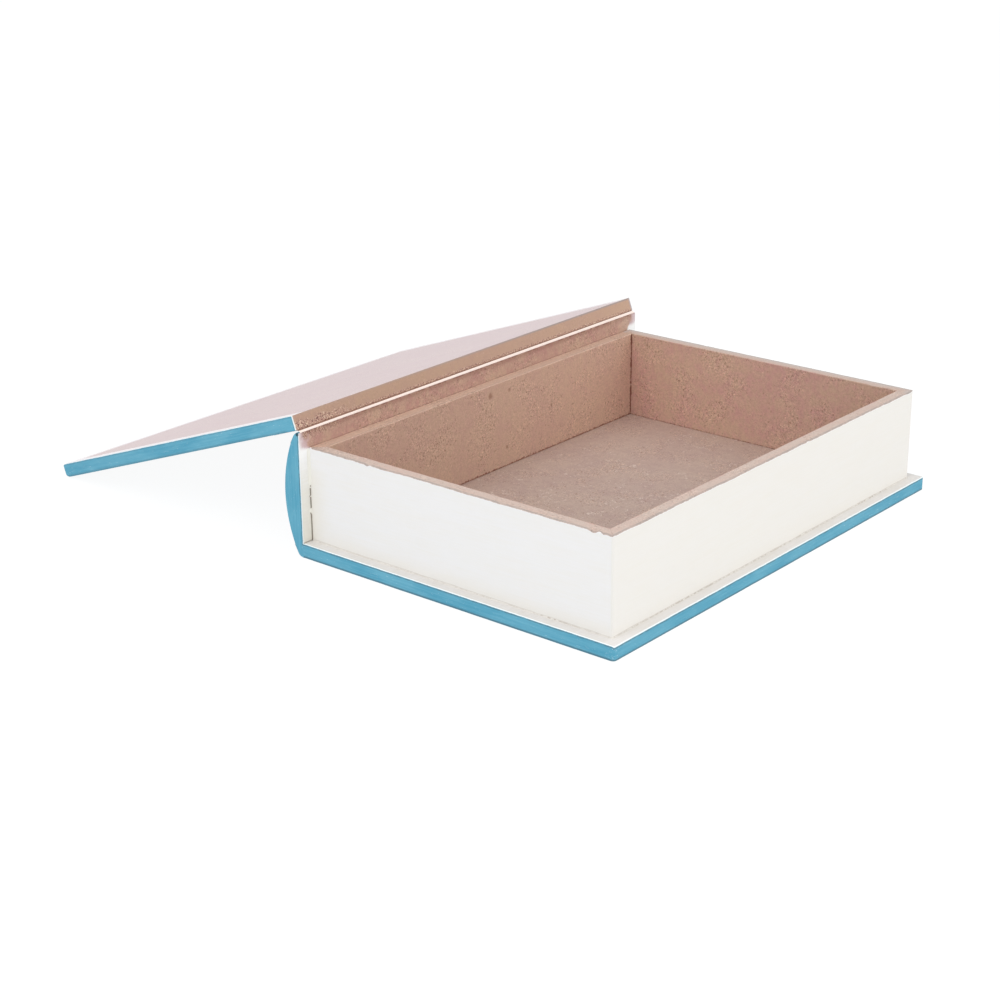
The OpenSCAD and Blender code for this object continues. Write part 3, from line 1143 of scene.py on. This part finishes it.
def wall_section():
    """Section of a wall: depth inwards from the outer face, and height. It starts at the outer foot."""
    low, high = FOOT_CHAMFER, WALL_H - RIM_ARRIS
    rise = np.concatenate([np.linspace(low, 1.6, 6), np.linspace(2.6, high - 1.0, 24), [high - 0.4]])
    return np.vstack([
        coordinates(0.0, rise),
        arc((RIM_ARRIS, high), RIM_ARRIS, 180, 90, 7),
        coordinates([0.7, 1.0, 1.8, 2.6, 3.4, 4.2], WALL_H),
        arc((WALL_T - RIM_ARRIS, high), RIM_ARRIS, 90, 0, 7),
        coordinates(WALL_T, rise[::-1]),
        coordinates([WALL_T - FOOT_CHAMFER, FOOT_CHAMFER], 0.0),
    ])


def wall_rings(length, seed, start_corner, end_corner, chips, seam_share):
    """Rings of one wall, centred on x = 0 and with its outer face on y = 0."""
    section = wall_section()
    half = length / 2
    near_end = half - np.array([0.0, 0.08, 0.2, 0.35, 0.5, 0.7, 0.9])
    middle = np.linspace(-half + 1.2, half - 1.2, int(length / WALL_STATION))
    x = np.concatenate([-near_end, middle, near_end[::-1]])
    corner = np.where(x < 0, start_corner, end_corner)[:, None]
    depth, height = section[None, :, 0], section[None, :, 1]
    end = half - np.maximum(depth, corner * (1 - math.sqrt(0.5)))
    place = x[:, None] * end / half
    past = np.clip(np.abs(place) - (half - corner), 0.0, corner)
    turned_in = corner - np.sqrt(corner ** 2 - past ** 2)
    depth = depth + turned_in * np.clip(1 - depth / corner, 0.0, 1.0)
    on_rim = np.clip((height - WALL_H + SANDED_H) / SANDED_H, 0.0, 1.0)
    chip = bumps(x, chips)[:, None]
    sanded = np.abs(wander(x, 0.09, seed))[:, None] + 0.25 * np.maximum(chip, 0.0) * (depth < 1.2)
    around = lengths(section)
    outer_side = around[np.argmax(section[:, 0] > 0.01)]
    way = around[:-1] - outer_side + chip + wander(x, 0.25, seed + 20)[:, None]
    seam = np.minimum(height, half - WALL_T - np.abs(place)) / seam_share
    seam = np.where(section[None, :, 0] > WALL_T - 0.1, seam, FAR_FROM_SEAM)
    surface = coordinates(x[:, None] + seed * SURFACE_STEP, around[None, :])
    points = coordinates(place, depth, height - sanded * on_rim)
    return points, surface, {"way": way, "seam": seam, "mitre": half - np.abs(x)[:, None]}


def set_wall(name, node_name, rings, angle, origin, finish=WALL_PAINT, slot="painted_wall"):
    """Turns a wall's rings by an angle in degrees about Z, moves them to its origin and makes the wall."""
    points, surface, marks = rings
    turn = math.radians(angle)
    x = points[..., 0] * math.cos(turn) - points[..., 1] * math.sin(turn)
    y = points[..., 0] * math.sin(turn) + points[..., 1] * math.cos(turn)
    points = coordinates(x, y, points[..., 2]) + np.array(origin)
    set_piece(name, (points, surface, marks), [finish], slot, node_name, caps=True)


tray_w = TRAY_X[1] - TRAY_X[0]
tray_l = TRAY_Y[1] - TRAY_Y[0]
tray_mid = (TRAY_X[0] + TRAY_X[1]) / 2
TAIL_CHIPS = [(-74.2, 1.3, -0.9), (-43.0, 1.1, 0.45), (-41.4, 0.6, -0.3), (65.4, 1.3, 0.55),
              (68.2, 0.8, -0.45), (70.0, 0.7, 0.3)]
FORE_CHIPS = [(-60.0, 0.8, 0.25), (22.0, 1.0, -0.25), (101.0, 2.2, 0.35)]
HEAD_CHIPS = [(-62.0, 2.5, -0.5), (31.0, 1.0, 0.3)]
tail_rings = wall_rings(tray_w, 1, SPINE_CORNER, FORE_CORNER, TAIL_CHIPS, 0.7)
head_rings = wall_rings(tray_w, 2, FORE_CORNER, SPINE_CORNER, HEAD_CHIPS, 0.6)
fore_rings = wall_rings(tray_l, 3, FORE_CORNER, FORE_CORNER, FORE_CHIPS, 0.7)
side_rings = wall_rings(tray_l, 4, SPINE_CORNER, SPINE_CORNER, [], 1.3)
set_wall("tail_board", "tail_wall", tail_rings, 0, (tray_mid, TRAY_Y[0], BOARD_T))
set_wall("head_board", "head_wall", head_rings, 180, (tray_mid, TRAY_Y[1], BOARD_T))
set_wall("fore_edge_board", "fore_edge_wall", fore_rings, 90, (TRAY_X[1], 0.0, BOARD_T))
set_wall(
    "spine_side_board", "spine_wall", side_rings, -90, (TRAY_X[0], 0.0, BOARD_T), WALL_BOARD, "bare_wall"
)

# %% [markdown]
# Beads of paint
#
# The painter ran the brush along every corner of the outside, and the paint filled them with a small
# hollow bead. It cracked where the boards moved, and one long joint beside the spine stayed open near
# its foot. A bead is a hollow quarter round carried along the corner: two directions lead away from the
# corner, one on each face, and the bead spans between them.


# %% The beads' material
def bead_material(name, paint, thin_paint):
    material, shader, place, surface, crack, gap = start_material(name, "crack", "gap")
    cream = use(BRUSHED_PAINT, surface, paint, thin_paint, 0.4)
    broken = ramp(noise(place, 0.75, 3.0, 0.6), 0.44, 0.56)
    open_joint = ramp(gap + ramp(noise(place, 0.8, 2.0), 0.3, 0.7, -0.35, 0.35), 0.4, 0.7)
    colour = layered(cream["Colour"], (crack * broken * 0.85, CRACK), (open_joint, OPEN_JOINT))
    return finish_material(material, shader, colour, cream["Roughness"], cream["Height"])


FOOT_BEAD = bead_material("foot_bead_paint", FOOT_CREAM, THIN_MARGIN)
# The beads beside the spine are lighter than the foot bead, as painted light against the shade in their
# hollow.
SPINE_BEAD = bead_material("spine_bead_lightened_paint", LIGHTENED_SPINE_BEAD_CREAM, THIN_SPINE_CREAM)


# %% Make the beads
BURIED = 0.12
BEAD_STATION, SPINE_STATION = 0.6, 0.4
SURFACE_POINT = 0.15
HOLLOW = np.radians(np.linspace(0.0, 90.0, 9))


def bead_rings(corner_line, first, second, radius, crack, gap):
    """Rings of a bead along a line of corner points.

    A point of the hollow is corner + r ((1 - sin a) first + (1 - cos a) second). Three more points,
    a little inside the two faces, close the ring behind it.
    """
    r = radius[:, None, None]
    hollow = (1 - np.sin(HOLLOW))[None, :, None] * first[:, None, :]
    hollow = hollow + (1 - np.cos(HOLLOW))[None, :, None] * second[:, None, :]
    front = corner_line[:, None, :] + r * hollow
    behind = np.stack([
        corner_line + radius[:, None] * second - BURIED * first,
        corner_line - BURIED * (first + second),
        corner_line + radius[:, None] * first - BURIED * second,
    ], 1)
    points = np.concatenate([front, behind], 1)
    across = np.arange(points.shape[1] + 1) * SURFACE_POINT
    surface = coordinates(walked(corner_line)[:, None], across[None, :])
    in_the_middle = np.exp(-((np.arange(points.shape[1]) - 4.0) / 1.6) ** 2)
    return points, surface, {"crack": crack[:, None] * in_the_middle[None, :], "gap": gap[:, None]}


def foot_line():
    """The foot of the three outer walls: tail, fore-edge and head, round the two fore-edge corners.

    Returns the corner points and, for each, the direction away from the wall.
    """
    inner_x, inner_y = TRAY_X[1] - FORE_CORNER, TRAY_Y[1] - FORE_CORNER
    tail_x = np.arange(TRAY_X[0] + 0.3, inner_x, BEAD_STATION)
    fore_y = np.arange(-inner_y, inner_y, BEAD_STATION)
    turns = np.radians(np.linspace(0.0, 90.0, 6))
    sines, cosines = FORE_CORNER * np.sin(turns), FORE_CORNER * np.cos(turns)
    tail = coordinates(tail_x, -TRAY_Y[1])
    line = np.vstack([
        tail,
        coordinates(inner_x + sines, -inner_y - cosines),
        coordinates(TRAY_X[1], fore_y[1:-1]),
        coordinates(inner_x + cosines, inner_y + sines),
        tail[::-1] * (1, -1),
    ])
    away = line - np.clip(line, (TRAY_X[0], -inner_y), (inner_x, inner_y))
    away /= np.linalg.norm(away, axis=1)[:, None]
    return coordinates(line[:, 0], line[:, 1], BOARD_T), coordinates(away[:, 0], away[:, 1], 0.0)


corner_line, away = foot_line()
upwards = np.broadcast_to(np.array([0.0, 0.0, 1.0]), away.shape)
on_tail = corner_line[:, 1] < TRAY_Y[0] + 0.01
on_fore = corner_line[:, 0] > TRAY_X[1] - 0.01
tail_cracks = bumps(corner_line[:, 0], [(-66.0, 9.0, -0.25), (44.0, 7.0, 0.6), (8.0, 5.0, 0.2)]) + 0.4
fore_cracks = bumps(corner_line[:, 1], [(-60.0, 30.0, 0.6), (73.0, 12.0, 0.7), (10.0, 30.0, 0.4)]) + 0.35
crack = np.where(on_tail, tail_cracks, np.where(on_fore, fore_cracks, 0.4))
radius = 0.6 + wander(walked(corner_line), 0.25, 61, 4.0, 40.0)
foot_rings = bead_rings(corner_line, away, upwards, radius, crack, np.zeros_like(radius))
set_piece("foot_bead", foot_rings, [FOOT_BEAD], "painted_wall", caps=True)

OPEN_BELOW = 29.0
BRIDGES = [(18.4, 1.0, 1.0), (24.6, 0.5, 0.5)]
OPEN_RADIUS, BEAD_RADIUS = 0.24, 0.9
spine_z = np.arange(BOARD_T + 0.2, RIM_Z - 0.1, SPINE_STATION)
for name, side, seed in (("tail_spine_bead", -1.0, 71), ("head_spine_bead", 1.0, 72)):
    end_line = coordinates(SPINE_X, side * TRAY_Y[1], spine_z)
    outwards = np.broadcast_to(np.array([0.0, side, 0.0]), end_line.shape)
    along_wall = np.broadcast_to(np.array([1.0, 0.0, 0.0]), end_line.shape)
    filled = rise_between(spine_z, OPEN_BELOW - 1.5, OPEN_BELOW + 2.0)
    filled = np.clip(np.maximum(filled, bumps(spine_z, BRIDGES)), 0.0, 1.0)
    radius = OPEN_RADIUS + (BEAD_RADIUS - OPEN_RADIUS) * filled + wander(spine_z, 0.1, seed, 2.0, 9.0)
    rings = bead_rings(end_line, outwards, along_wall, radius, np.zeros_like(radius), 1 - filled)
    set_piece(name, rings, [SPINE_BEAD], "painted_wall", caps=True)

# %% [markdown]
# The hinge cloth
#
# One strip of book cloth joins the lid to the spine and is the only hinge. It is glued down the
# spine's round and over its land, leaves the land at the fold, and is glued on the outer face of the
# lid. Where it crosses, its white glue side shows. A bent plane with Solidify would do for the middle,
# but not for the sharp fold, so the glued side and the painted side are two rows of points that are
# joined along both edges.
#
# The lid turns by more than half a circle, which a bend between two bodies can't follow, since it takes
# the short way round. The strip is therefore made in two halves that thin out to a crease at the fold,
# on the joint's axis. One stays with the spine and the other goes with the lid, and they meet in every
# pose. The spine half's crease stays below the axis, clear of the lid half when the book is closed.


# %% The cloth's material
THREADS_PER_MM = 2.2


def build_weave():
    result, surface, threads = new_group("Plain weave", ["Surface", "Threads per mm"], ["Height", "Gap"])
    warp, weft, _ = split(shaded(surface, threads))
    height = abs(calc("SINE", warp * math.pi) * calc("SINE", weft * math.pi))
    return link_all(result, {"Height": height, "Gap": ramp(height, 0.0, 0.25, 1.0, 0.0)})


PLAIN_WEAVE = build_weave()


def cloth_material():
    material, shader, place, surface, outside, to_lid = start_material("book_cloth", "outside", "to_lid")
    weave = use(PLAIN_WEAVE, surface, THREADS_PER_MM)
    blue = use(BRUSHED_PAINT, surface, BLUE, THIN_BLUE, 0.5)
    dirt = ramp(noise(place, 0.7, 3.0), 0.45, 0.7, 0.0, 0.3)
    ragged = to_lid + noise(place, 0.9, 3.0) * 0.2
    colour = layered(
        CLOTH_WHITE,
        (dirt, THIN_CREAM),
        (weave["Gap"] * 0.04, THIN_CREAM),
        # Painted shade: a brown band on the web where it meets the lid's corner.
        (ramp(ragged, 0.02, 0.14, 1.0, 0.0), WEB_SHADE_BROWN),
        (ramp(outside, 0.4, 0.6), blue["Colour"]),
    )
    return finish_material(material, shader, colour, blue["Roughness"], weave["Height"], relief=0.015)


CLOTH_MATERIAL = cloth_material()


# %% Make the hinge cloth
CLOTH_T = 0.15
CLOTH_END = 1.0
CLOTH_ON_LID = 14.0
CLOTH_ON_SPINE = 14.0
CLOTH_WITH_GLUE = 0.3
SHADE_AT_TAIL, SHADE_LESS_AT_HEAD = 0.58, 0.31
FOLD_LINE = np.array([FOLD[0], FOLD[2]])
BESIDE_FOLD, BELOW_FOLD = np.array([0.03, 0.0]), np.array([0.0, 0.03])


def away_from(path, distance):
    """A copy of a path in X and Z, moved to its left by a distance at each point."""
    ahead = np.gradient(path, axis=0)
    ahead /= np.linalg.norm(ahead, axis=1)[:, None]
    return path + coordinates(-ahead[:, 1], ahead[:, 0]) * distance


def cloth_on_spine():
    """The spine half in section, as its glued side and its painted side, up to the fold.

    The glued side follows the D section, which is walked from the round up to the flat face.
    """
    section = spine_outline()
    lowest = SPINE_H + CLOTH_WITH_GLUE - CLOTH_ON_SPINE
    upper = section[(section[:, 1] > lowest) & (section[:, 0] < SPINE_X - 0.25)][::-1]
    edge_top = np.array([SPINE_X, SPINE_H])
    glued_fold = edge_top + np.array([(-0.12, 0.0), (-0.02, 0.03), (-0.02, 0.1), (-0.09, 0.18)])
    painted_fold = edge_top + np.array([(-0.5, 0.19), (-0.35, 0.24), (-0.26, 0.27), (-0.21, 0.29)])
    glued = np.vstack([upper, glued_fold, FOLD_LINE - BELOW_FOLD])
    return glued, np.vstack([away_from(upper, CLOTH_T), painted_fold, FOLD_LINE - BESIDE_FOLD])


def cloth_on_lid():
    """The lid half in section: a straight web from the fold to the lid's outer corner, then along it."""
    on_lid = LID_X + np.concatenate([[0.0, 0.3], np.linspace(1.0, CLOTH_ON_LID, 14)])
    glued_on_lid = opened(coordinates(on_lid, 0.0, LID_OUT_Z))[:, [0, 2]]
    under_lid = opened(coordinates(on_lid, 0.0, LID_OUT_Z + CLOTH_T))[:, [0, 2]]
    share = np.linspace(0.0, 0.92, 12)[:, None]
    web_glued = (FOLD_LINE + BESIDE_FOLD) * (1 - share) + glued_on_lid[0] * share
    web_painted = (FOLD_LINE - BESIDE_FOLD) * (1 - share) + under_lid[0] * share
    return np.vstack([web_glued, glued_on_lid]), np.vstack([web_painted, under_lid])


def set_cloth(name, node_name, body, sides, before):
    """One half of the strip as a closed shell. before is the length of the cloth that leads up to it."""
    glued, outside = sides
    walk = before + walked(glued)
    strip_length = COVER_L - 2 * CLOTH_END
    y = np.linspace(-strip_length / 2, strip_length / 2, int(strip_length))
    loop = np.vstack([glued, outside[::-1]])
    around = np.concatenate([walk, walk[::-1], walk[:1]])
    is_outside = np.concatenate([np.zeros(len(glued)), np.ones(len(outside))])
    points = coordinates(loop[None, :, 0], y[:, None], loop[None, :, 1])
    surface = coordinates(y[:, None], around[None, :])
    lid_corner = opened(np.array([LID_X, 0.0, LID_OUT_Z]))[[0, 2]]
    # Width of the painted shade on the web, narrower towards the head.
    shade_width = SHADE_AT_TAIL - SHADE_LESS_AT_HEAD * rise_between(y, -COVER_L / 2, COVER_L / 2)
    to_lid = np.linalg.norm(loop - lid_corner, axis=1)[None, :] - shade_width[:, None]
    rings = points, surface, {"outside": is_outside[None, :], "to_lid": to_lid}
    cloth = set_piece(name, rings, [CLOTH_MATERIAL], "hinge_cloth", node_name, body, caps=True)
    return walk[-1]


spine_length = set_cloth(
    "cloth_on_spine", "hinge_cloth_spine", "box", cloth_on_spine(), 0.0
)
set_cloth("cloth_on_lid", "hinge_cloth_cover", "lid", cloth_on_lid(), spine_length)

# %% [markdown]
# The table and the light
#
# The box stands on a white table with no visible edge. The table is lit like anything else and keeps
# the box's shadow, but to the camera most of its white is its own, so that it melts into the white
# background. The same white meets glossy rays. Two large soft lamps stand on the fore-edge side, one
# high and one low, so that the tray's two visible inner walls face them.


# %% Make the table
TABLE_HALF = 6.0
TABLE_Z = -0.05 * MM
TABLE_GLOW = 0.94
WHITE = (1.0, 1.0, 1.0, 1.0)


def seen_directly(tree):
    """1 for rays from the camera, also by way of a reflection or through glass, and 0 for the others."""
    path = add(tree, "ShaderNodeLightPath").outputs
    camera_or_glossy = larger(Wire(path["Is Camera Ray"]), Wire(path["Is Glossy Ray"]))
    return larger(camera_or_glossy, Wire(path["Is Transmission Ray"]))


def table_material():
    material = bpy.data.materials.new("white_table")
    tree = empty_tree(material)
    lit = add(tree, "ShaderNodeBsdfDiffuse", {"Color": (0.8, 0.8, 0.8, 1.0)})
    faint = add(tree, "ShaderNodeBsdfDiffuse", {"Color": (0.1, 0.1, 0.1, 1.0)})
    own = add(tree, "ShaderNodeEmission", {"Color": WHITE, "Strength": TABLE_GLOW})
    white = wired("ShaderNodeAddShader", {0: Wire(faint.outputs[0]), 1: Wire(own.outputs[0])})
    inputs = {0: seen_directly(tree), 1: Wire(lit.outputs[0]), 2: white}
    add(tree, "ShaderNodeOutputMaterial", {"Surface": wired("ShaderNodeMixShader", inputs)})
    return material


table_mesh = bpy.data.meshes.new("table")
table_mesh.from_pydata(
    [(x * TABLE_HALF, y * TABLE_HALF, TABLE_Z) for x, y in ((-1, -1), (1, -1), (1, 1), (-1, 1))],
    [], [(0, 1, 2, 3)],
)
table = bpy.data.objects.new("table", table_mesh)
bpy.context.scene.collection.objects.link(table)
table_mesh.materials.append(table_material())

# %% Light the scene
WORLD_LIGHT = 0.85
SKY_TINT = (0.975, 0.988, 1.0, 1.0)
WARM_TINT = (1.0, 0.965, 0.91)
BOX_MIDDLE = Vector((0.0, 0.0, 0.03))
world = bpy.data.worlds.new("studio")
seen = seen_directly(empty_tree(world))
inputs = {"Color": blend(seen, SKY_TINT, WHITE), "Strength": ramp(seen, 0.0, 1.0, WORLD_LIGHT, 1.0)}
background = wired("ShaderNodeBackground", inputs)
add(world.node_tree, "ShaderNodeOutputWorld", {"Surface": background})
bpy.context.scene.world = world


def soft_lamp(name, place, watts, size, tint=(1.0, 1.0, 1.0)):
    """A large square lamp that faces the middle of the box."""
    lamp = bpy.data.lights.new(name, "AREA")
    lamp.energy = watts
    lamp.size = size
    lamp.color = tint
    made = bpy.data.objects.new(name, lamp)
    bpy.context.scene.collection.objects.link(made)
    made.location = Vector(place)
    made.rotation_euler = (BOX_MIDDLE - made.location).to_track_quat("-Z", "Y").to_euler()


soft_lamp("overhead_lamp", place=(0.0, -0.6, 0.85), watts=2.9, size=0.8)
soft_lamp("side_lamp", place=(1.2, 0.2, 0.5), watts=3.2, size=0.8, tint=WARM_TINT)
